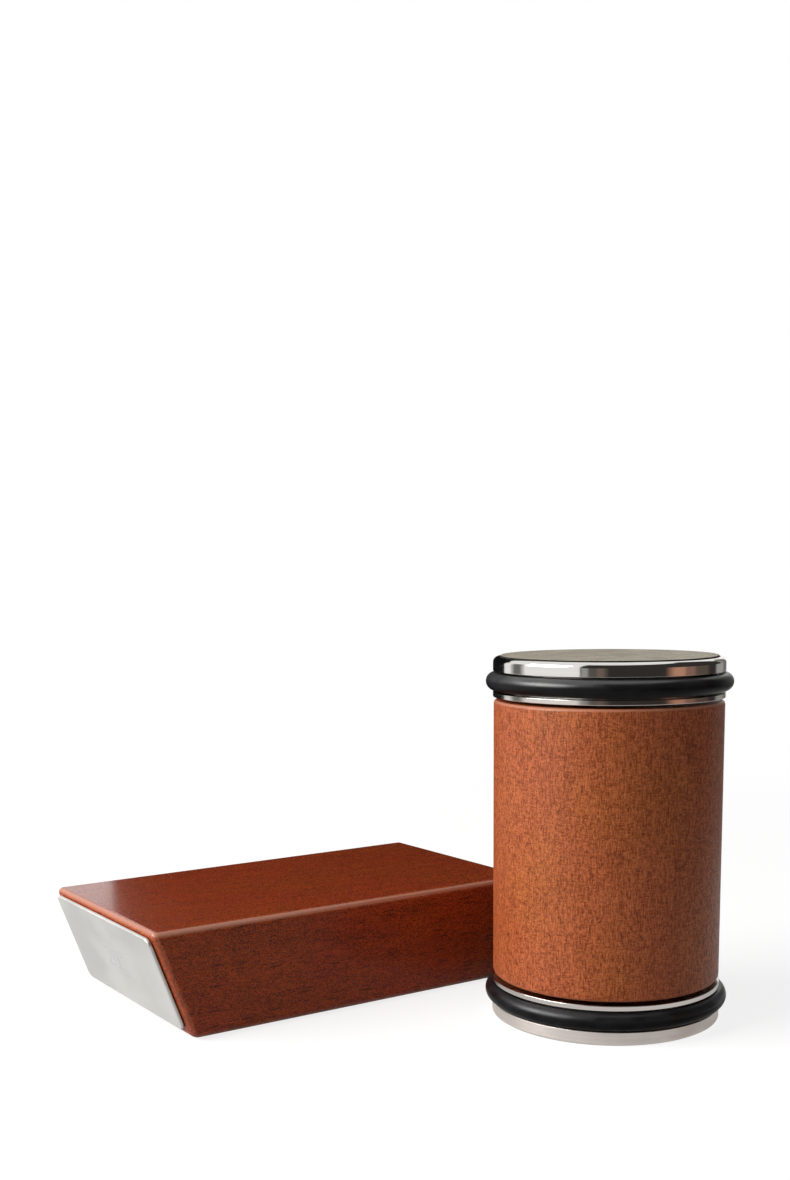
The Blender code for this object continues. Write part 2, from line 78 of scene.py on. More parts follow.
# The block's leaning ends: side, lean, and which way along X the end faces
BLOCK_ENDS = (
    ("steep", STEEP_END_ANGLE, -1),
    ("shallow", SHALLOW_END_ANGLE, 1),
)

# Edges and marks that only the looks have
GRIP_EDGE_RADIUS = 0.0009
BLOCK_EDGE_RADIUS = 0.0020
PLATE_EDGE_RADIUS = 0.00025
METAL_EDGE_RADIUS = 0.00015
FOOT_EDGE_RADIUS = 0.0003
MARK_HEIGHT = 0.0088
MARK_THICKNESS = 0.00002

# Fineness of the meshes
WIDE_SEGMENTS = 192
NARROW_SEGMENTS = 96
SECTION_SEGMENTS = 40
FILLET_STEPS = 5
SHOULDER_STEPS = 8
BLOCK_BEVEL_SEGMENTS = 8
PLATE_BEVEL_SEGMENTS = 3
ROUND_PROFILE = 0.5
PLATE_RIM_ANGLE = math.radians(60)
SHARP_ANGLE = math.radians(40)
MERGE_DISTANCE = 0.000001

# Features of the wood's grain: sizes in millimetres along X, Y and Z, and how strongly each shows
GRIP_GRAIN = (
    ((0.36, 0.36, 1.6), 1.40),
    ((1.4, 1.4, 0.40), 0.95),
    ((0.30, 0.30, 0.34), 1.15),
    ((2.8, 2.8, 18.0), 0.28),
)
BLOCK_GRAIN = (
    ((1.2, 0.40, 0.40), 0.90),
    ((0.34, 0.34, 0.34), 2.10),
    ((16.0, 2.6, 2.6), 0.28),
    ((4.0, 4.0, 4.0), 0.15),
)

# Dark dashes in the wood: sizes in millimetres of the cells that may hold one, the share of them
# that do, a dash's width in cells, and how strongly it shows
GRIP_DASHES = (
    ((0.9, 9.0, 3.8), 0.16, 0.26, 0.60),
    ((0.7, 9.0, 2.1), 0.18, 0.26, 0.42),
)
BLOCK_DASHES = (
    ((8.5, 9.0, 0.95), 0.30, 0.28, 0.80),
    ((4.5, 9.0, 0.80), 0.30, 0.27, 0.56),
)

# Dark and light ends of the redder and the more orange parts of the stain
GRIP_STAIN = (
    ((0.165, 0.026, 0.0040), (0.565, 0.149, 0.0530)),
    ((0.165, 0.029, 0.0034), (0.565, 0.160, 0.0470)),
)
BLOCK_STAIN = (
    ((0.040, 0.0030, 0.0008), (0.580, 0.082, 0.0160)),
    ((0.040, 0.0036, 0.0007), (0.580, 0.094, 0.0140)),
)

# The varnish: its roughness and its weight on upright faces, then its weight where it faces up
GRIP_VARNISH = (0.42, 0.25)
BLOCK_VARNISH = (0.20, 0.18)
TOP_VARNISH = 0.95
TOP_VARNISH_FACING = 0.8

# The rest of the wood's look
WOOD_IOR = 1.5
WOOD_SPECULAR = 0.15
DASH_COLOUR = (0.040, 0.005, 0.0015)
DASH_DEPTH = 0.85
# Lighter colour of the rounded edges: partly worn stain, partly a painted highlight where they face up
WORN_AND_HIGHLIT_EDGE_COLOUR = (0.54, 0.225, 0.135)

# Turned metals: colour, roughness, depth of the lathe's lines, and their share of the tone
POLISHED_STEEL = ((0.78, 0.76, 0.73), 0.09, 0.0000002, 0.5)
WHEEL_STEEL = ((0.67, 0.625, 0.585), 0.15, 0.0000004, 0.5)
SATIN_STEEL = ((0.69, 0.635, 0.595), 0.47, 0.000004, 0.6)
BEARING_STEEL = ((0.60, 0.60, 0.60), 0.16, 0.000001, 0.5)
TURNED_SHADE = 0.90
TURNED_SMOOTHEST = 0.75
TURNED_ROUGHEST = 1.35
SMUDGE_SHARE = 0.6

# Plated and stamped metals: colour and roughness
NICKEL = ((0.62, 0.60, 0.55), 0.22)
ZINC = ((0.58, 0.59, 0.60), 0.28)
STAMPED_STEEL = ((0.50, 0.50, 0.49), 0.34)
PLATING_SHADE = 0.86
PLATING_SMOOTHEST = 0.8
PLATING_ROUGHEST = 1.3

# Rubbers: colour, roughness, and the share of the dust cells that hold a grain
BLACK_RUBBER = ((0.0075, 0.0075, 0.0085), 0.34, 0.05)
GREY_RUBBER = ((0.055, 0.055, 0.055), 0.62, 0.02)
RUBBER_IOR = 1.6
RUBBER_SPECULAR = 0.4
WIPED_SMOOTHER = 0.06
WIPED_ROUGHER = 0.08
WIPED_LIGHTER = 1.6
WIPED_HAZE = 0.002
DUST_COLOUR = (0.30, 0.30, 0.30)
DUST_WIDTH = 0.055

# Dark and light ends of the other finishes
PLATE_TONES = ((0.595, 0.595, 0.570), (0.645, 0.641, 0.620))
MARK_TONES = ((0.50, 0.505, 0.515), (0.60, 0.605, 0.615))
GRIT_TONES = ((0.260, 0.234, 0.180), (0.530, 0.485, 0.400))
# Colour of the painted shade on the grit's upright rim
GRIT_RIM_PAINTED_SHADE = (0.02, 0.018, 0.016)
SPARK_COLOUR = (0.62, 0.60, 0.54)
SPARK_DEPTH = 0.6
SPARK_SHARE = 0.22
SPARK_WIDTH = 0.30

# How metallic the plates, their marks and the grit are, and how rough the first two are
PLATE_METALLIC = 0.85
MARK_METALLIC = 0.7
GRIT_METALLIC = 0.45
PLATE_ROUGHNESS = (0.42, 0.52)
MARK_ROUGHNESS = 0.62

# Share of the fine grain where it is mixed with something broader
PLATE_GRAIN_IN_TONE = 0.35
PLATE_GRAIN_IN_RELIEF = 0.5
GRIT_GRAIN_IN_TONE = 0.75

# Low and high end of what drives a look, and what they turn into where that isn't 0 and 1
STAIN_BY_PATCH = (0.36, 0.66)
ROUGHNESS_BY_GRAIN = (0.0, 1.0, 0.52, 0.40)
# The rounded edges' worn stain and painted highlight: by how far a point lies on the edge, then by how far it
# faces up
WEAR_AND_HIGHLIGHT_BY_EDGE = (0.02, 0.50, 0.0, 0.7)
WEAR_AND_HIGHLIGHT_BY_FACING = (0.0, 0.5, 0.3, 1.0)
DASHES_BY_FACING = (0.8, 0.95)
TONE_BY_PLATE_GRAIN = (0.35, 0.65)
TONE_BY_GRIT = (0.39, 0.61)
# Where the grit's upright rim gets its painted shade, by how far the surface faces up
GRIT_RIM_SHADE_BY_FACING = (0.3, 0.8)
ROUGHNESS_BY_SPARK = (0.0, 1.0, 0.74, 0.40)
SHEEN_BY_HEIGHT = (0.01, 0.08, 0.45, 1.0)
SHEEN_BY_FACING = (0.0, 0.60, 0.05, 0.70)

# Sizes in millimetres along X, Y and Z of the features in the finishes. For the lathe's lines and
# bands the first is along the radius, and the second isn't used
STAIN_PATCHES = (26.0, 26.0, 30.0)
VARNISH_RIPPLES = (0.7, 0.7, 0.7)
LATHE_LINES = (0.09, 1.0, 0.09)
LATHE_BANDS = (0.6, 1.0, 0.6)
SMUDGES = (9.0, 9.0, 5.0)
PLATE_GRAIN = (0.20, 0.20, 0.20)
PLATE_BRUSHING = (0.12, 6.0, 0.12)
PLATE_CLOUDS = (16.0, 16.0, 12.0)
MARK_GRAIN = (0.25, 0.25, 0.25)
GRIT_GRAINS = (0.22, 0.22, 0.22)
GRIT_PATCHES = (7.0, 7.0, 7.0)
GRIT_SPARKS = (0.55, 0.55, 0.55)
RUBBER_SKIN = (0.35, 0.35, 0.35)
RUBBER_WIPES = (6.0, 6.0, 2.5)
DUST_CELLS = (1.6, 1.6, 1.6)
PLATING_MOTTLE = (1.2, 1.2, 1.2)
PLATING_GRAIN = (0.15, 0.15, 0.15)

# Depths of the relief in the finishes
WOOD_RELIEF = 0.00003
VARNISH_RELIEF = 0.00002
PLATE_RELIEF = 0.000012
GRIT_RELIEF = 0.00010
RUBBER_RELIEF = 0.000015
PLATING_RELIEF = 0.000008

# Where most values of a noise texture lie
NOISE_LOW = 0.3
NOISE_HIGH = 0.7

# Share of a spot's width in which it is full, before it fades
SPOT_CORE = 0.6

# Places of a colour mix's sockets in its node
MIX_FIRST = 6
MIX_SECOND = 7
MIX_RESULT = 2

# Studio cards
WHITE_CARD = (0.60, 0.60, 0.59)
PALE_CARD = (0.36, 0.36, 0.35)
GREY_CARD = (0.17, 0.17, 0.16)
SMOKE_CARD = (0.105, 0.095, 0.085)
DARK_CLOTH = (0.036, 0.032, 0.029)
BLACK_CARD = (0.006, 0.006, 0.007)
COPPER_CARD = (0.52, 0.27, 0.18)
ROSE_CARD = (0.26, 0.15, 0.115)
TAUPE_CARD = (0.175, 0.130, 0.112)
BROWN_CARD = (0.11, 0.081, 0.064)

# Where the cards that the polished steel mirrors stand: first and last degree, counted from the
# camera's side to its right, and the card
NEAR_CARDS = (
    (-33, -28, PALE_CARD),
    (-26, -20, SMOKE_CARD),
    (-18, -14, TAUPE_CARD),
    (-8, 44, DARK_CLOTH),
    (54, 64, COPPER_CARD),
    (67, 76, ROSE_CARD),
    (80, 95, BROWN_CARD),
    (100, 110, DARK_CLOTH),
    (114, 128, PALE_CARD),
    (134, 146, GREY_CARD),
)
SIDE_CARDS = (
    (-118, -116, WHITE_CARD),
    (-112, -103, GREY_CARD),
    (-99, -97, WHITE_CARD),
)
FAR_CARDS = (
    (-172, -138, GREY_CARD),
    (-131, -130, WHITE_CARD),
)
SCREEN_STEP_DEGREES = 3

# The dark hood on the side away from the lamp
HOOD_START_DEGREES = -34.4
HOOD_END_DEGREES = 124
HOOD_DISTANCE = 0.26
HOOD_REACH = math.radians(66)
HOOD_STEPS = 24

# The black card behind the block, from the camera's middle line
BACK_CARD_DISTANCE = 0.452
BACK_CARD_LEFT = -0.0932
BACK_CARD_RIGHT = 0.0800
BACK_CARD_HEIGHT = 0.17

# The lamp
LAMP_SIZE = (0.9, 0.6)
LAMP_WATTS = 18.5
LAMP_COLOUR = (1.0, 0.985, 0.965)
LAMP_DEGREES = -74
LAMP_DISTANCE = 1.05
LAMP_HEIGHT = 0.56
LAMP_TARGET = (-0.03, 0.03, 0.04)

# The soft fill from all round, strongest from one side
FILL_DEGREES = 35
FILL_DISTANCE = 0.9
FILL_HEIGHT = 0.44
FILL_BEHIND = -0.6
FILL_LEAST = 0.03
FILL_MOST = 0.38

# The table, and how far it lies below what stands on it
FLOOR_GAP = 0.00002
FLOOR_RADIUS = 6.0
FLOOR_SEGMENTS = 96
FLOOR_COLOUR = (0.28, 0.28, 0.28)
FLOOR_ROUGHNESS = 0.9
FLOOR_LIFT = 0.81
FLOOR_LIFT_MIRRORED = 0.66
FLOOR_FADE_START = 0.16
FLOOR_FADE_END = 0.55

# Where the photograph was taken from
FOCAL_PIXELS = 1403.3
FRAME_WIDTH = 790
FRAME_HEIGHT = 1180
PRINCIPAL_X = 395.0
PRINCIPAL_Y = 783.2
SENSOR = 36.0
CAMERA_PLACE = (-0.2399, -0.2614, 0.1110)
CAMERA_TURN = math.radians(33.861)
CAMERA_PITCH = math.radians(8.298)
CAMERA_ROLL = math.radians(0.483)
CLIP_START = 0.01
CLIP_END = 50.0

# Millimetres in a metre, and plain colours
MM = 1000.0
WHITE = (1.0, 1.0, 1.0)
BLACK = (0.0, 0.0, 0.0)


class Nodes:
    """A node tree, filled one node at a time."""

    def __init__(self, tree):
        self.tree = tree

    def feed(self, socket, value):
        """Links a node's output or sets a plain value. A colour comes without its alpha."""
        if isinstance(value, bpy.types.NodeSocket):
            self.tree.links.new(value, socket)
        elif socket.type == "RGBA":
            socket.default_value = (*value, 1.0)
        else:
            socket.default_value = value

    def node(self, kind, inputs=None, **settings):
        node = self.tree.nodes.new(kind)
        for name, value in settings.items():
            setattr(node, name, value)
        for name, value in (inputs or {}).items():
            self.feed(node.inputs[name], value)
        return node

    def math(self, operation, first, second=0.0):
        return self.node("ShaderNodeMath", {0: first, 1: second}, operation=operation).outputs[0]

    def remap(self, value, low, high, to_low=0.0, to_high=1.0, curve="SMOOTHSTEP"):
        inputs = {"Value": value, "From Min": low, "From Max": high, "To Min": to_low, "To Max": to_high}
        return self.node("ShaderNodeMapRange", inputs, interpolation_type=curve).outputs["Result"]

    def seen_directly(self):
        """1 for the rays that show the background: from the camera, by reflection or through glass."""
        rays = self.node("ShaderNodeLightPath").outputs
        unbroken = self.math("MAXIMUM", rays["Is Camera Ray"], rays["Is Glossy Ray"])
        return self.math("MAXIMUM", unbroken, rays["Is Transmission Ray"])


class Finish(Nodes):
    """A material, with its shader and the place on the piece."""

    def __init__(self, name, **sockets):
        self.material = bpy.data.materials.new(name)
        self.material.use_nodes = True
        super().__init__(self.material.node_tree)
        self.shader = self.tree.nodes["Principled BSDF"]
        self.place = self.node("ShaderNodeTexCoord").outputs["Object"]
        self.set(**sockets)

    def set(self, **sockets):
        """Feeds the shader's sockets, named with underscores for spaces."""
        for name, value in sockets.items():
            self.feed(self.shader.inputs[name.replace("_", " ")], value)

    def parts(self, vector):
        return self.node("ShaderNodeSeparateXYZ", {0: vector}).outputs

    def facing(self, axis):
        """How far the surface faces along an axis, from -1 to 1."""
        normal = self.node("ShaderNodeTexCoord").outputs["Normal"]
        return self.parts(normal)[axis]

    def stored(self, name, output):
        """A value stored at the points of the mesh."""
        return self.node("ShaderNodeAttribute", attribute_name=name).outputs[output]

    def stretched(self, place, sizes):
        """The place in a texture whose features have these sizes, in millimetres."""
        scale = tuple(MM / size for size in sizes)
        return self.node("ShaderNodeVectorMath", {0: place, 1: scale}, operation="MULTIPLY").outputs[0]

    def noise(self, place, sizes, detail=2.0, roughness=0.5):
        place = self.stretched(place, sizes)
        inputs = {"Vector": place, "Scale": 1.0, "Detail": detail, "Roughness": roughness}
        return self.node("ShaderNodeTexNoise", inputs).outputs["Fac"]

    def cells(self, place, sizes, share, width):
        """Mask of separate spots: this share of the cells holds one, of this width in cells."""
        place = self.stretched(place, sizes)
        cells = self.node("ShaderNodeTexVoronoi", {"Vector": place, "Scale": 1.0})
        spot = self.remap(cells.outputs["Distance"], width, width * SPOT_CORE)
        chance = self.node("ShaderNodeSeparateColor", {"Color": cells.outputs["Color"]}).outputs["Red"]
        kept = self.math("LESS_THAN", chance, share)
        return self.math("MULTIPLY", spot, kept)

    def spread(self, noise, to_low=0.0, to_high=1.0):
        """A noise stretched from where most of its values lie to a range."""
        return self.remap(noise, NOISE_LOW, NOISE_HIGH, to_low, to_high)

    def mixed(self, share, first, second):
        """This share of one value and the rest of another."""
        first_part = self.math("MULTIPLY", first, share)
        return self.math("ADD", first_part, self.math("MULTIPLY", second, 1 - share))

    def blend(self, share, first, second):
        """Two colours mixed by the share of the second."""
        inputs = {"Factor": share, MIX_FIRST: first, MIX_SECOND: second}
        return self.node("ShaderNodeMix", inputs, data_type="RGBA").outputs[MIX_RESULT]

    def bump(self, height, distance):
        inputs = {"Height": height, "Distance": distance, "Strength": 1.0}
        return self.node("ShaderNodeBump", inputs).outputs["Normal"]

    def round_place(self):
        """Place on a turned piece, the same all the way round: its radius, nothing and its height."""
        parts = self.parts(self.place)
        squares = self.math("ADD", self.math("POWER", parts["X"], 2.0), self.math("POWER", parts["Y"], 2.0))
        radius = self.math("SQRT", squares)
        return self.node("ShaderNodeCombineXYZ", {"X": radius, "Z": parts["Z"]}).outputs[0]


def scaled(base, factor):
    return tuple(value * factor for value in base)


def wood_tone(finish, grain):
    """Share of the stain's light end, from the features of the grain."""
    tone = 0.5
    for sizes, gain in grain:
        feature = finish.math("SUBTRACT", finish.noise(finish.place, sizes, roughness=0.6), 0.5)
        tone = finish.math("ADD", tone, finish.math("MULTIPLY", feature, gain))
    return finish.remap(tone, 0.0, 1.0)


def wood_wear_and_highlight(finish):
    """How far the stain is worn and lightened as a painted highlight: along rounded edges, and most where
    they face up, as light from above falls there.
    """
    along_edges = finish.remap(finish.stored("edge", "Fac"), *WEAR_AND_HIGHLIGHT_BY_EDGE)
    facing_up = finish.remap(finish.facing("Z"), *WEAR_AND_HIGHLIGHT_BY_FACING)
    return finish.math("MULTIPLY", along_edges, facing_up)


def wood_finish(name, grain, dashes, stain_ends, varnish_roughness, side_varnish):
    """Stained and varnished beech, whose rounded edges are lighter from wear and from a painted highlight."""
    finish = Finish(name, Coat_Roughness=varnish_roughness, IOR=WOOD_IOR, Specular_IOR_Level=WOOD_SPECULAR)
    tone = wood_tone(finish, grain)
    red, orange = [finish.blend(tone, dark, light) for dark, light in stain_ends]
    patches = finish.remap(finish.noise(finish.place, STAIN_PATCHES), *STAIN_BY_PATCH)
    stain = finish.blend(patches, red, orange)
    marks = dashes(finish)
    stain = finish.blend(finish.math("MULTIPLY", marks, DASH_DEPTH), stain, DASH_COLOUR)
    # Rounded edges get a lighter colour: partly wear, partly a painted highlight that is strongest where they
    # face up
    stain = finish.blend(wood_wear_and_highlight(finish), stain, WORN_AND_HIGHLIT_EDGE_COLOUR)
    ripples = finish.noise(finish.place, VARNISH_RIPPLES)
    finish.set(
        Base_Color=stain,
        Roughness=finish.remap(tone, *ROUGHNESS_BY_GRAIN),
        Normal=finish.bump(finish.math("SUBTRACT", tone, marks), WOOD_RELIEF),
        Coat_Weight=finish.remap(finish.facing("Z"), 0.0, TOP_VARNISH_FACING, side_varnish, TOP_VARNISH),
        Coat_Normal=finish.bump(ripples, VARNISH_RELIEF),
    )
    return finish.material


def dash_mask(finish, place, kinds):
    """Mask of separate dashes of several kinds."""
    marks = 0.0
    for sizes, share, width, strength in kinds:
        kind = finish.math("MULTIPLY", finish.cells(place, sizes, share, width), strength)
        marks = finish.math("MAXIMUM", marks, kind)
    return marks


def grip_dashes(finish):
    """Short dark dashes up and down the turned grip."""
    parts = finish.parts(finish.place)
    turn = finish.math("ARCTAN2", parts["X"], finish.math("MULTIPLY", parts["Y"], -1.0))
    across = finish.math("MULTIPLY", turn, radius_of("wooden_grip"))
    place = finish.node("ShaderNodeCombineXYZ", {"X": across, "Z": parts["Z"]}).outputs[0]
    return dash_mask(finish, place, GRIP_DASHES)


def block_dashes(finish):
    """Dark dashes along the sides of the block, none on its top."""
    on_side = finish.remap(finish.math("ABSOLUTE", finish.facing("Y")), *DASHES_BY_FACING)
    return finish.math("MULTIPLY", dash_mask(finish, finish.place, BLOCK_DASHES), on_side)


def turned_metal(name, base, roughness, line_depth, line_share):
    """Metal finished on a lathe, with fine lines running round it."""
    finish = Finish(name, Metallic=1.0)
    place = finish.round_place()
    lines = finish.noise(place, LATHE_LINES, detail=3.0, roughness=0.6)
    bands = finish.noise(place, LATHE_BANDS)
    smudges = finish.noise(finish.place, SMUDGES, detail=3.0)
    tone = finish.spread(finish.mixed(line_share, lines, bands))
    uneven = finish.mixed(SMUDGE_SHARE, smudges, lines)
    finish.set(
        Base_Color=finish.blend(tone, scaled(base, TURNED_SHADE), base),
        Roughness=finish.spread(uneven, roughness * TURNED_SMOOTHEST, roughness * TURNED_ROUGHEST),
        Normal=finish.bump(lines, line_depth),
    )
    return finish.material


def plated_metal(name, base, roughness):
    """Plated steel with a faint crystalline mottle."""
    finish = Finish(name, Metallic=1.0)
    mottle = finish.noise(finish.place, PLATING_MOTTLE, detail=3.0)
    grain = finish.noise(finish.place, PLATING_GRAIN)
    finish.set(
        Base_Color=finish.blend(finish.spread(mottle), scaled(base, PLATING_SHADE), base),
        Roughness=finish.spread(mottle, roughness * PLATING_SMOOTHEST, roughness * PLATING_ROUGHEST),
        Normal=finish.bump(grain, PLATING_RELIEF),
    )
    return finish.material


def plate_finish():
    """Fine blasted and lightly brushed stainless plate."""
    finish = Finish("brushed_plate", Metallic=PLATE_METALLIC)
    grain = finish.noise(finish.place, PLATE_GRAIN)
    brushing = finish.noise(finish.place, PLATE_BRUSHING, detail=3.0)
    clouds = finish.noise(finish.place, PLATE_CLOUDS)
    tone = finish.remap(finish.mixed(PLATE_GRAIN_IN_TONE, grain, clouds), *TONE_BY_PLATE_GRAIN)
    finish.set(
        Base_Color=finish.blend(tone, *PLATE_TONES),
        Roughness=finish.spread(clouds, *PLATE_ROUGHNESS),
        Normal=finish.bump(finish.mixed(PLATE_GRAIN_IN_RELIEF, grain, brushing), PLATE_RELIEF),
    )
    return finish.material


def mark_finish():
    """The etched number on a plate, a little greyer and rougher than the steel round it."""
    finish = Finish("etched_mark", Metallic=MARK_METALLIC, Roughness=MARK_ROUGHNESS)
    finish.set(Base_Color=finish.blend(finish.noise(finish.place, MARK_GRAIN), *MARK_TONES))
    return finish.material


def grit_finish():
    """Diamond grains in dull nickel, with a painted shade on the upright rim."""
    finish = Finish("diamond_grit", Metallic=GRIT_METALLIC)
    grains = finish.noise(finish.place, GRIT_GRAINS, detail=3.0, roughness=0.7)
    patches = finish.noise(finish.place, GRIT_PATCHES, detail=3.0)
    sparks = finish.cells(finish.place, GRIT_SPARKS, SPARK_SHARE, SPARK_WIDTH)
    tone = finish.remap(finish.mixed(GRIT_GRAIN_IN_TONE, grains, patches), *TONE_BY_GRIT)
    base = finish.blend(tone, *GRIT_TONES)
    base = finish.blend(finish.math("MULTIPLY", sparks, SPARK_DEPTH), base, SPARK_COLOUR)
    # The upright rim gets a painted shade; the flat face keeps the grit's own colour
    on_face = finish.remap(finish.facing("Z"), *GRIT_RIM_SHADE_BY_FACING)
    finish.set(
        Base_Color=finish.blend(on_face, GRIT_RIM_PAINTED_SHADE, base),
        Roughness=finish.remap(sparks, *ROUGHNESS_BY_SPARK),
        Normal=finish.bump(grains, GRIT_RELIEF),
    )
    return finish.material


def rubber_finish(name, base, roughness, dust_share):
    """Moulded rubber with a few grains of dust, and a sheen that is stronger higher up and facing up."""
    finish = Finish(name, IOR=RUBBER_IOR, Specular_IOR_Level=RUBBER_SPECULAR)
    height = finish.remap(finish.parts(finish.place)["Z"], *SHEEN_BY_HEIGHT)
    upwards = finish.remap(finish.facing("Z"), *SHEEN_BY_FACING)
    skin = finish.noise(finish.place, RUBBER_SKIN)
    wipes = finish.noise(finish.place, RUBBER_WIPES, detail=3.0)
    dust = finish.cells(finish.place, DUST_CELLS, dust_share, DUST_WIDTH)
    wiped = tuple(value + WIPED_HAZE for value in scaled(base, WIPED_LIGHTER))
    tone = finish.blend(finish.spread(wipes), base, wiped)
    finish.set(
        Base_Color=finish.blend(dust, tone, DUST_COLOUR),
        Specular_IOR_Level=finish.math("MULTIPLY", height, upwards),
        Roughness=finish.spread(wipes, roughness - WIPED_SMOOTHER, roughness + WIPED_ROUGHER),
        Normal=finish.bump(skin, RUBBER_RELIEF),
    )
    return finish.material


def add_object(name, data):
    thing = bpy.data.objects.new(name, data)
    bpy.context.scene.collection.objects.link(thing)
    return thing


def eased(outline):
    """Rounds each corner that carries a third value, the radius of its edge."""
    points = []
    neighbours = zip([outline[-1], *outline], outline, [*outline[1:], outline[0]])
    for before, corner, after in neighbours:
        if len(corner) == 2:
            points.append(corner)
            continue
        radius = corner[2]
        here = Vector((corner[0], corner[1], 0))
        back = (Vector((before[0], before[1], 0)) - here).normalized()
        ahead = (Vector((after[0], after[1], 0)) - here).normalized()
        half = back.angle(ahead) / 2
        setback = radius / math.tan(half)
        centre = here + (back + ahead).normalized() * radius / math.sin(half)
        first = (here + back * setback - centre).normalized()
        last = (here + ahead * setback - centre).normalized()
        for step in range(FILLET_STEPS + 1):
            point = centre + first.slerp(last, step / FILLET_STEPS) * radius
            points.append((point.x, point.y))
    return points


def mesh_from(shape, name):
    bmesh.ops.recalc_face_normals(shape, faces=shape.faces)
    mesh = bpy.data.meshes.new(name)
    shape.to_mesh(mesh)
    shape.free()
    mesh.shade_smooth()
    mesh.set_sharp_from_angle(angle=SHARP_ANGLE)
    return mesh


def turned(node, outline, segments=WIDE_SEGMENTS):
    """A solid for a node, turned about Z from (radius, height) corners."""
    shape = bmesh.new()
    corners = [shape.verts.new((radius, 0, height)) for radius, height in eased(outline)]
    edges = [shape.edges.new(pair) for pair in zip(corners, corners[1:])]
    starts_off_axis = outline[0][0] > 0
    if starts_off_axis:
        edges.append(shape.edges.new((corners[-1], corners[0])))
    bmesh.ops.spin(
        shape,
        geom=corners + edges,
        cent=(0, 0, 0),
        axis=(0, 0, 1),
        angle=math.tau,
        steps=segments,
        use_merge=True,
    )
    bmesh.ops.remove_doubles(shape, verts=shape.verts, dist=MERGE_DISTANCE)
    return mesh_from(shape, f"{node}_finished")


def prism(corners, sweep):
    """A solid between a flat face, given by its corners in order, and the same face moved away."""
    shape = bmesh.new()
    face = shape.faces.new([shape.verts.new(corner) for corner in corners])
    swept = bmesh.ops.extrude_face_region(shape, geom=[face])
    moved = [item for item in swept["geom"] if isinstance(item, bmesh.types.BMVert)]
    bmesh.ops.translate(shape, verts=moved, vec=sweep)
    bmesh.ops.recalc_face_normals(shape, faces=shape.faces)
    return shape


def round_edges(shape, edges, radius, segments):
    bmesh.ops.bevel(
        shape,
        geom=edges,
        offset=radius,
        segments=segments,
        profile=ROUND_PROFILE,
        affect="EDGES",
    )


def mark_edges(mesh, alignment):
    """Stores how far each point lies on a rounded edge, from 0 on a flat face to 1 at the edge's middle."""
    at_edge_middle = 1 / math.sqrt(2)
    attribute = mesh.attributes.new("edge", "FLOAT", "POINT")
    for vertex in mesh.vertices:
        on_edge = (1 - alignment(vertex.normal)) / (1 - at_edge_middle)
        attribute.data[vertex.index].value = min(1.0, max(0.0, on_edge))


def evaluated_mesh(thing):
    """A copy of an object's mesh as its modifiers leave it."""
    bpy.context.view_layer.update()
    graph = bpy.context.evaluated_depsgraph_get()
    return bpy.data.meshes.new_from_object(thing.evaluated_get(graph))


def take_out(piece, mesh):
    """Cuts a shape out of a piece for good."""
    cutter = add_object(mesh.name, mesh)
    boolean = piece.modifiers.new("cut", "BOOLEAN")
    boolean.operation = "DIFFERENCE"
    boolean.object = cutter
    cut_mesh = evaluated_mesh(piece)
    piece.modifiers.clear()
    piece.data = cut_mesh
    bpy.data.objects.remove(cutter, do_unlink=True)


def show(name, mesh, material, body, nodes=()):
    """A finished piece that rides on a body and may stand for CAD nodes."""
    mesh.materials.append(material)
    piece = add_object(name, mesh)
    weighted = piece.modifiers.new("even_shading", "WEIGHTED_NORMAL")
    weighted.keep_sharp = True
    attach(piece, body)
    if nodes:
        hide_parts(*nodes)
    return piece


def stand_in(node, mesh, material, body):
    """The finished piece of one CAD node."""
    return show(f"{node}_finished", mesh, material, body, [node])


def radius_of(node):
    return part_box(node)[1].x


class End:
    """One end of the roller, with depths counted inwards from the face where its disc sits."""

    def __init__(self, side):
        low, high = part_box(f"{side}_o_ring")
        self.side = side
        self.sign = 1 if side == "lower" else -1
        self.ring_section = high.z - low.z
        self.ring_outer = high.x
        self.groove_width = self.ring_section + 2 * GROOVE_SIDE_GAP
        self.seat = low.z - GROOVE_SIDE_GAP if side == "lower" else high.z + GROOVE_SIDE_GAP
        self.hub = self.ring_outer - self.ring_section - SEAT_GAP
        self.spigot_bore = self.hub - HUB_WALL
        self.spigot = self.spigot_bore - FIT_GAP
        self.lip = self.spigot - radius_of(f"{side}_disc_magnet")

    def height(self, depth):
        return self.seat + self.sign * depth

    def depths(self, node):
        """Least and greatest depth of a node."""
        low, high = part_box(node)
        return sorted(((low.z - self.seat) * self.sign, (high.z - self.seat) * self.sign))

    def turned(self, node, outline, segments=WIDE_SEGMENTS):
        """A solid turned about Z from (radius, depth) corners."""
        placed = [(corner[0], self.height(corner[1]), *corner[2:]) for corner in outline]
        return turned(node, placed, segments)


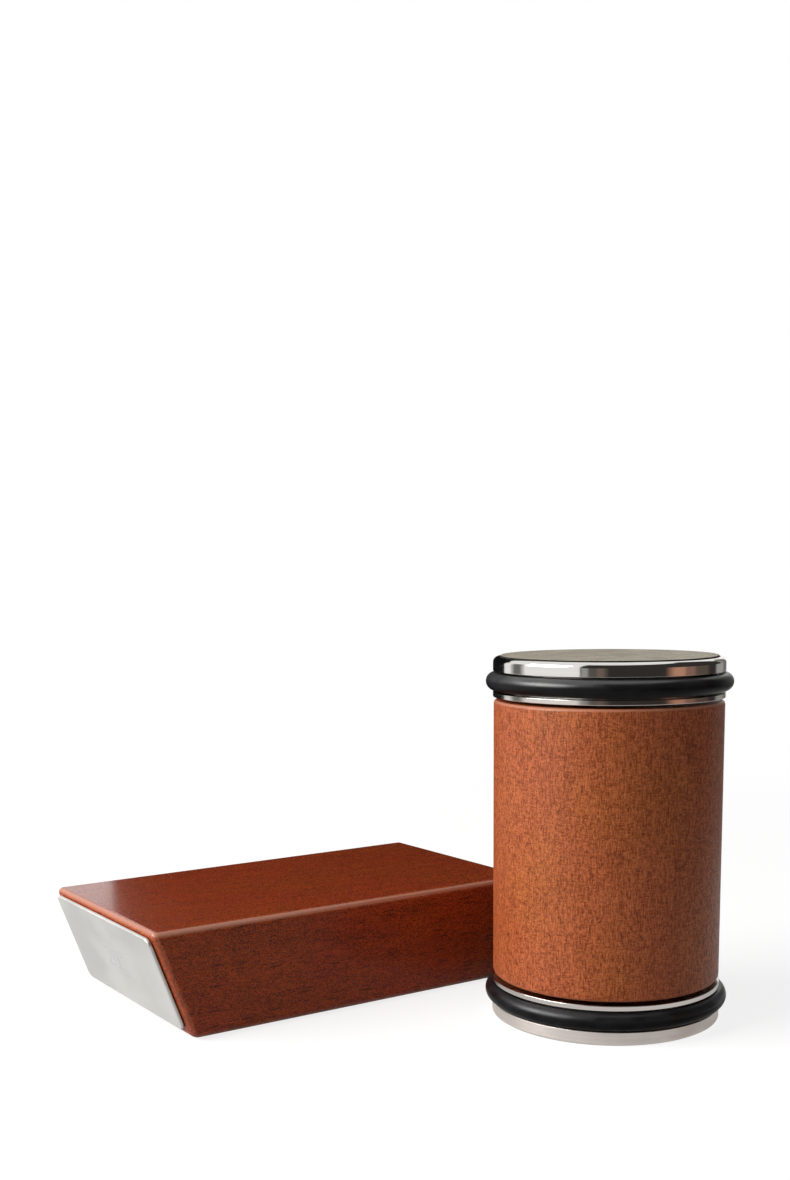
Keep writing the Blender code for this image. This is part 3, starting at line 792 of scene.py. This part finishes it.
def make_wheel(end, material):
    """Wheel with its ring groove, flange and the pockets of its outer face."""
    node = f"{end.side}_wheel"
    edge = METAL_EDGE_RADIUS
    bore = radius_of("axle") + FIT_GAP
    boss = radius_of("race_spacer")
    rim = radius_of(node)
    boss_end = end.depths(node)[1]
    flange_inner = end.groove_width + FLANGE_THICKNESS
    magnet_near, magnet_far = end.depths(f"{end.side}_disc_magnet")
    magnet_pocket = radius_of(f"{end.side}_disc_magnet") + FIT_GAP
    magnet_seat = magnet_far + SEAT_GAP
    washer_pocket = radius_of(f"{end.side}_axle_washer") + FIT_GAP
    washer_seat = end.depths(f"{end.side}_axle_washer")[1] + SEAT_GAP
    collar = washer_pocket + end.lip - FIT_GAP
    outline = [
        (bore, boss_end),
        (boss, boss_end, edge),
        (boss, flange_inner),
        (rim, flange_inner, edge),
        (rim, end.groove_width, edge),
        (end.hub, end.groove_width),
        (end.hub, SEAT_GAP, edge),
        (end.spigot_bore, SEAT_GAP, edge),
        (end.spigot_bore, magnet_near),
        (magnet_pocket, magnet_near, edge),
        (magnet_pocket, magnet_seat),
        (collar, magnet_seat),
        (collar, magnet_near, edge),
        (washer_pocket, magnet_near, edge),
        (washer_pocket, washer_seat),
        (bore, washer_seat),
    ]
    stand_in(node, end.turned(node, outline), material, "wheelset")


def make_o_ring(end, material):
    node = f"{end.side}_o_ring"
    radius = end.ring_section / 2
    centre = end.ring_outer - radius
    middle = end.groove_width / 2
    turns = [math.tau * step / SECTION_SEGMENTS for step in range(SECTION_SEGMENTS)]
    outline = [(centre + radius * math.cos(turn), middle + radius * math.sin(turn)) for turn in turns]
    stand_in(node, end.turned(node, outline), material, "wheelset")


def make_disc_magnet(end, material):
    node = f"{end.side}_disc_magnet"
    near, far = end.depths(node)
    outer = radius_of(node)
    inner = radius_of(f"{end.side}_axle_washer") + FIT_GAP + end.lip
    edge = METAL_EDGE_RADIUS
    outline = [(inner, near, edge), (outer, near, edge), (outer, far), (inner, far)]
    stand_in(node, end.turned(node, outline), material, "wheelset")


def make_axle_washer(end, material):
    node = f"{end.side}_axle_washer"
    near, far = end.depths(node)
    outer = radius_of(node)
    bore = SCREW_RADIUS + FIT_GAP
    edge = METAL_EDGE_RADIUS
    outline = [(bore, near, edge), (outer, near, edge), (outer, far), (bore, far)]
    stand_in(node, end.turned(node, outline, NARROW_SEGMENTS), material, "wheelset")


def make_axle_screw(end, material):
    """Screw with a key socket in its head."""
    node = f"{end.side}_axle_screw"
    top, tip = end.depths(node)
    head = radius_of(node)
    head_base = top + SCREW_HEAD_HEIGHT
    outline = [
        (0, top),
        (head, top, SCREW_HEAD_EDGE),
        (head, head_base),
        (SCREW_RADIUS, head_base),
        (SCREW_RADIUS, tip),
        (0, tip),
    ]
    piece = stand_in(node, end.turned(node, outline, NARROW_SEGMENTS), material, "wheelset")
    socket = bmesh.new()
    bmesh.ops.create_cone(
        socket,
        cap_ends=True,
        segments=SOCKET_SIDES,
        radius1=SOCKET_RADIUS,
        radius2=SOCKET_RADIUS,
        depth=2 * SOCKET_DEPTH,
        matrix=Matrix.Translation((0, 0, end.height(top))),
    )
    take_out(piece, mesh_from(socket, "key_socket"))


def shoulder(rim, face, width, drop):
    """Rounded shoulder from the rim of a disc up to its face, as (radius, depth)."""
    inner = rim - width
    turns = [math.pi / 2 * step / SHOULDER_STEPS for step in range(SHOULDER_STEPS, -1, -1)]
    return [(inner + width * math.sin(turn), face + drop * (1 - math.cos(turn))) for turn in turns]


def disc_back(end, rim, spigot_end):
    """The inner side of a disc, from the end of its spigot out to the rim, as (radius, depth)."""
    edge = METAL_EDGE_RADIUS
    return [(0, spigot_end), (end.spigot, spigot_end, edge), (end.spigot, 0), (rim, 0, edge)]


def make_diamond_disc(end, polished, grit):
    face, spigot_end = end.depths("diamond_carrier")
    rim = radius_of("diamond_carrier")
    plate_top, plate_bottom = end.depths("diamond_plate")
    pocket = rim - SHOULDER_WIDTH - RIM_LIP
    pocket_floor = plate_bottom + SEAT_GAP
    outline = disc_back(end, rim, spigot_end)
    outline += shoulder(rim, face, SHOULDER_WIDTH, SHOULDER_DROP)
    outline += [(pocket, face), (pocket, pocket_floor), (0, pocket_floor)]
    mesh = end.turned("diamond_carrier", outline)
    stand_in("diamond_carrier", mesh, polished, "diamond_end")
    radius = radius_of("diamond_plate")
    edge = METAL_EDGE_RADIUS
    outline = [(0, plate_bottom), (radius, plate_bottom), (radius, plate_top, edge), (0, plate_top)]
    mesh = end.turned("diamond_plate", outline)
    stand_in("diamond_plate", mesh, grit, "diamond_end")


def make_honing_disc(end, satin):
    """Turned disc whose rim stands a little proud of its face."""
    face, spigot_end = end.depths("honing_disc")
    rim = radius_of("honing_disc")
    face_radius = rim - HONING_SHOULDER_WIDTH - RIM_LIP
    foot = face + HONING_PROUD
    outline = disc_back(end, rim, spigot_end)
    outline += shoulder(rim, foot, HONING_SHOULDER_WIDTH, HONING_SHOULDER_DROP)
    outline += [(face_radius, foot), (face_radius, face), (0, face)]
    mesh = end.turned("honing_disc", outline)
    stand_in("honing_disc", mesh, satin, "honing_end")


def make_grip(material):
    """Wooden sleeve, bored for its bearings."""
    low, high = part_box("wooden_grip")
    seat_radius = radius_of("upper_outer_race") + FIT_GAP
    bore = radius_of("upper_inner_race") + GRIP_BORE_WALL
    upper_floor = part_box("upper_outer_race")[0].z - SEAT_GAP
    lower_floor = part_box("lower_outer_race")[1].z + SEAT_GAP
    outline = [
        (bore, upper_floor),
        (seat_radius, upper_floor),
        (seat_radius, high.z),
        (high.x, high.z, GRIP_EDGE_RADIUS),
        (high.x, low.z, GRIP_EDGE_RADIUS),
        (seat_radius, low.z),
        (seat_radius, lower_floor),
        (bore, lower_floor),
    ]
    mesh = turned("wooden_grip", outline)
    mark_edges(mesh, lambda normal: max(abs(normal.z), math.hypot(normal.x, normal.y)))
    stand_in("wooden_grip", mesh, material, "grip")


def end_normal(angle, sign):
    """The way a leaning end of the block faces."""
    return Vector((sign * math.cos(angle), 0, -math.sin(angle)))


def plate_points(side):
    return [vertex.co for vertex in frame["nodes"][f"{side}_end_plate"].data.vertices]


def block_reach():
    """Where the block's top ends, before its edges are rounded: its least and greatest X."""
    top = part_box("angle_block")[1].z
    ends = []
    for side, angle, sign in BLOCK_ENDS:
        normal = end_normal(angle, sign)
        plate_front = max(normal.dot(point) for point in plate_points(side))
        wood = plate_front - PLATE_THICKNESS - SEAT_GAP
        ends.append((wood - normal.z * top) / normal.x)
    return ends


def make_block(material):
    """Wooden block whose ends lean outwards from foot to top."""
    low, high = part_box("angle_block")
    left, right = block_reach()
    rise = high.z - low.z
    corners = [
        (left, low.y, high.z),
        (left + rise * math.tan(STEEP_END_ANGLE), low.y, low.z),
        (right - rise * math.tan(SHALLOW_END_ANGLE), low.y, low.z),
        (right, low.y, high.z),
    ]
    shape = prism(corners, (0, high.y - low.y, 0))
    flats = [face.normal.copy() for face in shape.faces]
    round_edges(shape, shape.edges, BLOCK_EDGE_RADIUS, BLOCK_BEVEL_SEGMENTS)
    mesh = mesh_from(shape, "angle_block_finished")
    mark_edges(mesh, lambda normal: max(normal.dot(flat) for flat in flats))
    stand_in("angle_block", mesh, material, "block")


def make_plate(side, angle, sign, plate_material, mark_material):
    """Leaning steel plate with its angle etched in the middle."""
    node = f"{side}_end_plate"
    normal = end_normal(angle, sign)
    up = Vector((sign * math.sin(angle), 0, math.cos(angle)))
    across = up.cross(normal)
    points = plate_points(side)
    front = max(normal.dot(point) for point in points)
    heights = [up.dot(point) for point in points]
    sides = [across.dot(point) for point in points]
    corner = PLATE_CORNER_RADIUS
    outline = eased([
        (min(sides), min(heights), corner),
        (max(sides), min(heights), corner),
        (max(sides), max(heights), corner),
        (min(sides), max(heights), corner),
    ])
    back = normal * (front - PLATE_THICKNESS)
    corners = [across * over + up * rise + back for over, rise in outline]
    shape = prism(corners, normal * PLATE_THICKNESS)
    rims = [edge for edge in shape.edges if edge.calc_face_angle(0) > PLATE_RIM_ANGLE]
    round_edges(shape, rims, PLATE_EDGE_RADIUS, PLATE_BEVEL_SEGMENTS)
    stand_in(node, mesh_from(shape, node), plate_material, "block")
    centre = (min(sides) + max(sides)) / 2
    middle = (min(heights) + max(heights)) / 2
    place = Matrix.Translation(across * centre + up * middle + normal * front)
    turn = Matrix((across, up, normal)).transposed().to_4x4()
    make_mark(f"{side}_angle_mark", f"{math.degrees(angle):.0f}°", place @ turn, mark_material)


def make_mark(name, label, place, material):
    """Thin etched number, centred on its place."""
    text = bpy.data.curves.new(name, "FONT")
    text.body = label
    text.size = MARK_HEIGHT
    text.align_x = "CENTER"
    text.align_y = "CENTER"
    text.extrude = MARK_THICKNESS
    writer = add_object(name, text)
    mesh = evaluated_mesh(writer)
    bpy.data.objects.remove(writer, do_unlink=True)
    mesh.transform(place)
    mesh.materials.clear()
    show(name, mesh, material, "block")


def make_feet(material):
    for index in range(1, FOOT_COUNT + 1):
        node = f"block_foot_{index}"
        low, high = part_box(node)
        radius = (high.x - low.x) / 2
        outline = [(0, low.z), (radius, low.z, FOOT_EDGE_RADIUS), (radius, high.z), (0, high.z)]
        mesh = turned(node, outline, NARROW_SEGMENTS)
        mesh.transform(Matrix.Translation(((low.x + high.x) / 2, (low.y + high.y) / 2, 0)))
        stand_in(node, mesh, material, "block")


def dress_hidden_nodes(materials):
    """Gives the CAD nodes that stay, all inside the roller and the block, their finishes."""
    for entry in frame["record"]["subparts"]:
        node = frame["nodes"][entry["node"]]
        if node.hide_render:
            continue
        node.data.materials.clear()
        node.data.materials.append(materials[entry["material_slot"]])
        node.data.shade_smooth()


def level_axes():
    """The camera's right and forward directions along the floor."""
    right = Vector((math.cos(CAMERA_TURN), -math.sin(CAMERA_TURN), 0))
    ahead = Vector((math.sin(CAMERA_TURN), math.cos(CAMERA_TURN), 0))
    return right, ahead


def camera_axes():
    """The camera's right, up and forward directions."""
    right, ahead = level_axes()
    forward = ahead * math.cos(CAMERA_PITCH) - Vector((0, 0, math.sin(CAMERA_PITCH)))
    up = right.cross(forward)
    turn = Matrix.Rotation(CAMERA_ROLL, 3, forward)
    return turn @ right, turn @ up, forward


def make_camera():
    right, up, forward = camera_axes()
    camera = add_object("camera", bpy.data.cameras.new("camera"))
    camera.data.sensor_width = SENSOR
    camera.data.lens = SENSOR * FOCAL_PIXELS / FRAME_HEIGHT
    camera.data.shift_x = (FRAME_WIDTH / 2 - PRINCIPAL_X) / FRAME_HEIGHT
    camera.data.shift_y = (PRINCIPAL_Y - FRAME_HEIGHT / 2) / FRAME_HEIGHT
    camera.data.clip_start = CLIP_START
    camera.data.clip_end = CLIP_END
    axes = Matrix((right, up, -forward)).transposed().to_4x4()
    camera.matrix_world = Matrix.Translation(CAMERA_PLACE) @ axes
    bpy.context.scene.camera = camera


def around(degrees, distance, height):
    """A place round the roller, by its angle to the right of the camera's side."""
    turn = math.radians(degrees)
    right, ahead = level_axes()
    return right * distance * math.sin(turn) - ahead * distance * math.cos(turn) + Vector((0, 0, height))


def make_lamp():
    light = bpy.data.lights.new("key_light", "AREA")
    light.shape = "RECTANGLE"
    light.size, light.size_y = LAMP_SIZE
    light.energy = LAMP_WATTS
    light.color = LAMP_COLOUR
    lamp = add_object("key_light", light)
    lamp.location = around(LAMP_DEGREES, LAMP_DISTANCE, LAMP_HEIGHT)
    lamp.rotation_euler = (Vector(LAMP_TARGET) - lamp.location).to_track_quat("-Z", "Y").to_euler()
    lamp.visible_camera = False


def stage_card(name, shape, tint=None):
    """Card that only reflections see, of one tint or with a tint stored at each of its points."""
    mesh = mesh_from(shape, name)
    finish = Finish(name, Base_Color=BLACK, Specular_IOR_Level=0.0, Emission_Strength=1.0)
    if tint:
        finish.set(Emission_Color=tint)
    else:
        finish.set(Emission_Color=finish.stored("tint", "Color"))
    mesh.materials.append(finish.material)
    card = add_object(name, mesh)
    card.visible_camera = False
    card.visible_diffuse = False
    card.visible_shadow = False


def make_screen(name, cards, distance, height):
    """Upright screen, curved round the roller, whose cards fade into each other."""
    shape = bmesh.new()
    layer = shape.verts.layers.float_color.new("tint")
    stops = [(degrees, tint) for start, end, tint in cards for degrees in (start, end)]
    columns = []
    for (start, first), (end, second) in zip(stops, stops[1:]):
        steps = max(1, round((end - start) / SCREEN_STEP_DEGREES))
        for step in range(steps + 1):
            share = step / steps
            column = []
            for level in (0.0, height):
                point = shape.verts.new(around(start + (end - start) * share, distance, level))
                point[layer] = (*Vector(first).lerp(Vector(second), share), 1.0)
                column.append(point)
            columns.append(column)
    for first, second in zip(columns, columns[1:]):
        shape.faces.new((first[0], second[0], second[1], first[1]))
    bmesh.ops.remove_doubles(shape, verts=shape.verts, dist=MERGE_DISTANCE)
    stage_card(name, shape)


def make_hood():
    """Dark hood over the side that is away from the lamp, from the floor to well overhead."""
    shape = bmesh.new()
    rows = []
    for level in range(HOOD_STEPS + 1):
        lift = HOOD_REACH * level / HOOD_STEPS
        distance = HOOD_DISTANCE * math.cos(lift)
        height = HOOD_DISTANCE * math.sin(lift)
        row = []
        for step in range(HOOD_STEPS + 1):
            degrees = HOOD_START_DEGREES + (HOOD_END_DEGREES - HOOD_START_DEGREES) * step / HOOD_STEPS
            row.append(shape.verts.new(around(degrees, distance, height)))
        rows.append(row)
    for lower, upper in zip(rows, rows[1:]):
        for step in range(HOOD_STEPS):
            shape.faces.new((lower[step], lower[step + 1], upper[step + 1], upper[step]))
    bmesh.ops.remove_doubles(shape, verts=shape.verts, dist=MERGE_DISTANCE)
    stage_card("dark_hood", shape, DARK_CLOTH)


def make_back_card():
    """Black upright card behind the block."""
    right, up, forward = camera_axes()
    ahead = Vector((forward.x, forward.y, 0)).normalized()
    along = Vector((right.x, right.y, 0)).normalized()
    foot = Vector((CAMERA_PLACE[0], CAMERA_PLACE[1], 0)) + ahead * BACK_CARD_DISTANCE
    shape = bmesh.new()
    corners = [
        (BACK_CARD_LEFT, 0.0),
        (BACK_CARD_RIGHT, 0.0),
        (BACK_CARD_RIGHT, BACK_CARD_HEIGHT),
        (BACK_CARD_LEFT, BACK_CARD_HEIGHT),
    ]
    shape.faces.new([shape.verts.new(foot + along * over + Vector((0, 0, rise))) for over, rise in corners])
    stage_card("back_card", shape, BLACK_CARD)


def make_world():
    """White background, which lights the object as a soft fill that is stronger from one side."""
    world = bpy.data.worlds.new("studio")
    bpy.context.scene.world = world
    world.use_nodes = True
    nodes = Nodes(world.node_tree)
    way = nodes.node("ShaderNodeTexCoord").outputs["Generated"]
    fill_side = around(FILL_DEGREES, FILL_DISTANCE, FILL_HEIGHT)
    aim = nodes.node("ShaderNodeVectorMath", {0: way, 1: fill_side}, operation="DOT_PRODUCT").outputs["Value"]
    fill = nodes.remap(aim, FILL_BEHIND, 1.0, FILL_LEAST, FILL_MOST, curve="LINEAR")
    strength = nodes.node("ShaderNodeMix", {"Factor": nodes.seen_directly(), "A": fill, "B": 1.0})
    background = world.node_tree.nodes["Background"]
    nodes.feed(background.inputs["Color"], WHITE)
    nodes.feed(background.inputs["Strength"], strength.outputs["Result"])


def floor_finish():
    """White table: it takes the shadow near the object and runs out into the white background."""
    finish = Finish("floor", Base_Color=FLOOR_COLOUR, Roughness=FLOOR_ROUGHNESS, Specular_IOR_Level=0.0)
    plain = finish.shader.outputs[0]
    rays = finish.node("ShaderNodeLightPath").outputs
    mirrored = finish.math("MULTIPLY", rays["Is Glossy Ray"], FLOOR_LIFT_MIRRORED)
    lift_share = finish.math("MAXIMUM", rays["Is Camera Ray"], mirrored)
    lift = finish.node("ShaderNodeEmission", {"Strength": FLOOR_LIFT}).outputs[0]
    lifted = finish.node("ShaderNodeAddShader", {0: plain, 1: lift}).outputs[0]
    near = finish.node("ShaderNodeMixShader", {0: lift_share, 1: plain, 2: lifted}).outputs[0]
    far = finish.node("ShaderNodeEmission", {"Strength": 1.0}).outputs[0]
    distance = finish.node("ShaderNodeVectorMath", {0: finish.place}, operation="LENGTH").outputs["Value"]
    fade = finish.remap(distance, FLOOR_FADE_START, FLOOR_FADE_END)
    far_share = finish.math("MULTIPLY", fade, finish.seen_directly())
    whole = finish.node("ShaderNodeMixShader", {0: far_share, 1: near, 2: far}).outputs[0]
    finish.feed(finish.tree.nodes["Material Output"].inputs["Surface"], whole)
    return finish.material


def make_floor():
    shape = bmesh.new()
    bmesh.ops.create_circle(shape, cap_ends=True, segments=FLOOR_SEGMENTS, radius=FLOOR_RADIUS)
    bmesh.ops.translate(shape, verts=shape.verts, vec=(0, 0, -FLOOR_GAP))
    mesh = mesh_from(shape, "floor")
    mesh.materials.append(floor_finish())
    floor = add_object("floor", mesh)


def make_object():
    """All pieces of the roller and the block, in their finishes."""
    polished = turned_metal("polished_steel", *POLISHED_STEEL)
    wheel = turned_metal("wheel_steel", *WHEEL_STEEL)
    satin = turned_metal("satin_steel", *SATIN_STEEL)
    bearing = turned_metal("bearing_steel", *BEARING_STEEL)
    nickel = plated_metal("nickel", *NICKEL)
    zinc = plated_metal("zinc", *ZINC)
    stamped = plated_metal("stamped_steel", *STAMPED_STEEL)
    plate = plate_finish()
    mark = mark_finish()
    grit = grit_finish()
    black_rubber = rubber_finish("black_rubber", *BLACK_RUBBER)
    grey_rubber = rubber_finish("grey_rubber", *GREY_RUBBER)
    grip_wood = wood_finish("stained_beech_grip", GRIP_GRAIN, grip_dashes, GRIP_STAIN, *GRIP_VARNISH)
    block_wood = wood_finish("stained_beech_block", BLOCK_GRAIN, block_dashes, BLOCK_STAIN, *BLOCK_VARNISH)

    for side in ("lower", "upper"):
        end = End(side)
        make_wheel(end, wheel)
        make_o_ring(end, black_rubber)
        make_disc_magnet(end, nickel)
        make_axle_washer(end, zinc)
        make_axle_screw(end, zinc)
    make_diamond_disc(End("upper"), polished, grit)
    make_honing_disc(End("lower"), satin)
    make_grip(grip_wood)
    make_block(block_wood)
    for side, angle, sign in BLOCK_ENDS:
        make_plate(side, angle, sign, plate, mark)
    make_feet(grey_rubber)
    dress_hidden_nodes({
        "bearing_steel": bearing,
        "stamped_steel": stamped,
        "nickel": nickel,
        "zinc": zinc,
    })


def make_studio():
    make_camera()
    make_lamp()
    make_hood()
    make_screen("near_screen", NEAR_CARDS, distance=0.24, height=0.2)
    make_screen("side_screen", SIDE_CARDS, distance=0.60, height=0.3)
    make_screen("far_screen", FAR_CARDS, distance=0.60, height=0.06)
    make_back_card()
    make_world()
    make_floor()
    bpy.context.scene.view_settings.view_transform = "Standard"


make_object()
make_studio()
